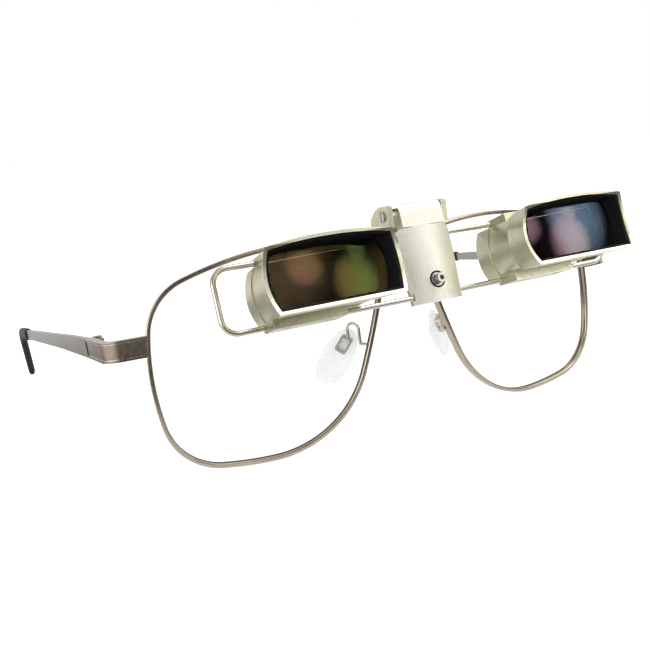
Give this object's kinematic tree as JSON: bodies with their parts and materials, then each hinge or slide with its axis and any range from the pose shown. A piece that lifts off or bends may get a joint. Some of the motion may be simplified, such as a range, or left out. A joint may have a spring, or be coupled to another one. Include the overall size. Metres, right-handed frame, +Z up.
{
  "type": "dental loupes",
  "caption": "Flip-up magnifying loupes on a metal full-rim spectacle frame, with sliding magnifiers on wire rails, folding temples and rocking nose pads.",
  "frame": {"origin": "on the table, below the middle of the bridge, where the two rims stand", "axes": "+Z up, +X to the wearer's left, -Y the way the wearer looks"},
  "size_m": [0.1886, 0.1911, 0.0585],
  "materials": {
    "rim_metal": "satin dark bronze coating",
    "endpiece_metal": "satin dark bronze coating, worn bright on the bend",
    "temple_metal": "satin grey beige",
    "tip_plastic": "smooth black",
    "housing_metal": "bead blasted champagne silver",
    "shield_metal": "bead blasted pale silver",
    "wire_metal": "bright drawn wire",
    "screw_metal": "turned steel",
    "baffle_black": "matt black",
    "lens_glass": "coated optical glass",
    "pad_silicone": "clear silicone"
  },
  "bodies": {
    "frame": {"rim_right": "rim_metal", "rim_left": "rim_metal", "bridge": "temple_metal", "endpiece_right": "endpiece_metal", "endpiece_left": "endpiece_metal", "rim_lock_screws": "screw_metal", "pad_arm_right": "wire_metal", "pad_arm_left": "wire_metal", "hinge_base": "housing_metal", "hinge_pin": "screw_metal", "temple_screws": "screw_metal"},
    "temple_arm_right": {"temple_right": "temple_metal", "tip_right": "tip_plastic"},
    "temple_arm_left": {"temple_left": "temple_metal", "tip_left": "tip_plastic"},
    "pad_right": {"nose_pad_right": "pad_silicone"},
    "pad_left": {"nose_pad_left": "pad_silicone"},
    "flip": {"flip_cover": "shield_metal", "flip_barrel": "housing_metal"},
    "carrier": {"shield": "shield_metal", "shield_back_plate": "housing_metal", "back_screws": "screw_metal", "rail_right": "wire_metal", "rail_left": "wire_metal", "clamp_washer": "baffle_black"},
    "height_clamp": {"clamp_screw": "screw_metal"},
    "loupe_right": {"body_right": "housing_metal", "hood_right": "housing_metal", "baffle_right": "baffle_black", "objective_right": "lens_glass", "ocular_ring_right": "housing_metal", "ocular_lens_right": "lens_glass", "rail_clamp_right": "housing_metal", "clamp_screws_right": "screw_metal"},
    "loupe_left": {"body_left": "housing_metal", "hood_left": "housing_metal", "baffle_left": "baffle_black", "objective_left": "lens_glass", "ocular_ring_left": "housing_metal", "ocular_lens_left": "lens_glass", "rail_clamp_left": "housing_metal", "clamp_screws_left": "screw_metal"}
  },
  "joints": [
    {"name": "temple_fold_right", "type": "hinge", "parent": "frame", "child": "temple_arm_right", "pos_m": [-0.07421, 0.0209, 0.03263], "axis": [0, -0.0561, -0.9984], "range_deg": [0, 103]},
    {"name": "temple_fold_left", "type": "hinge", "parent": "frame", "child": "temple_arm_left", "pos_m": [0.07421, 0.0209, 0.03263], "axis": [0, 0.0561, 0.9984], "range_deg": [0, 92]},
    {"name": "pad_rock_right", "type": "hinge", "parent": "frame", "child": "pad_right", "pos_m": [-0.015, 0.00568, 0.02342], "axis": [0.6542, -0.4911, -0.5752], "range_deg": [-8, 8]},
    {"name": "pad_rock_left", "type": "hinge", "parent": "frame", "child": "pad_left", "pos_m": [0.015, 0.00568, 0.02342], "axis": [0.6542, 0.4911, 0.5752], "range_deg": [-8, 8]},
    {"name": "flip_up", "type": "hinge", "parent": "frame", "child": "flip", "pos_m": [0, -0.00993, 0.05584], "axis": [-1, 0, 0], "range_deg": [-14, 75]},
    {"name": "height_slide", "type": "slide", "parent": "flip", "child": "carrier", "axis": [0, 0.296, 0.9552], "range_m": [-0.0032, 0]},
    {"name": "clamp_turn", "type": "hinge", "parent": "carrier", "child": "height_clamp", "pos_m": [0, -0.01945, 0.04075], "axis": [0, -0.9552, 0.296], "range_deg": [-180, 180]},
    {"name": "pupil_slide_right", "type": "slide", "parent": "carrier", "child": "loupe_right", "axis": [-1, 0, 0], "range_m": [-0.004, 0.005]},
    {"name": "pupil_slide_left", "type": "slide", "parent": "carrier", "child": "loupe_left", "axis": [1, 0, 0], "range_m": [-0.004, 0.005]}
  ]
}
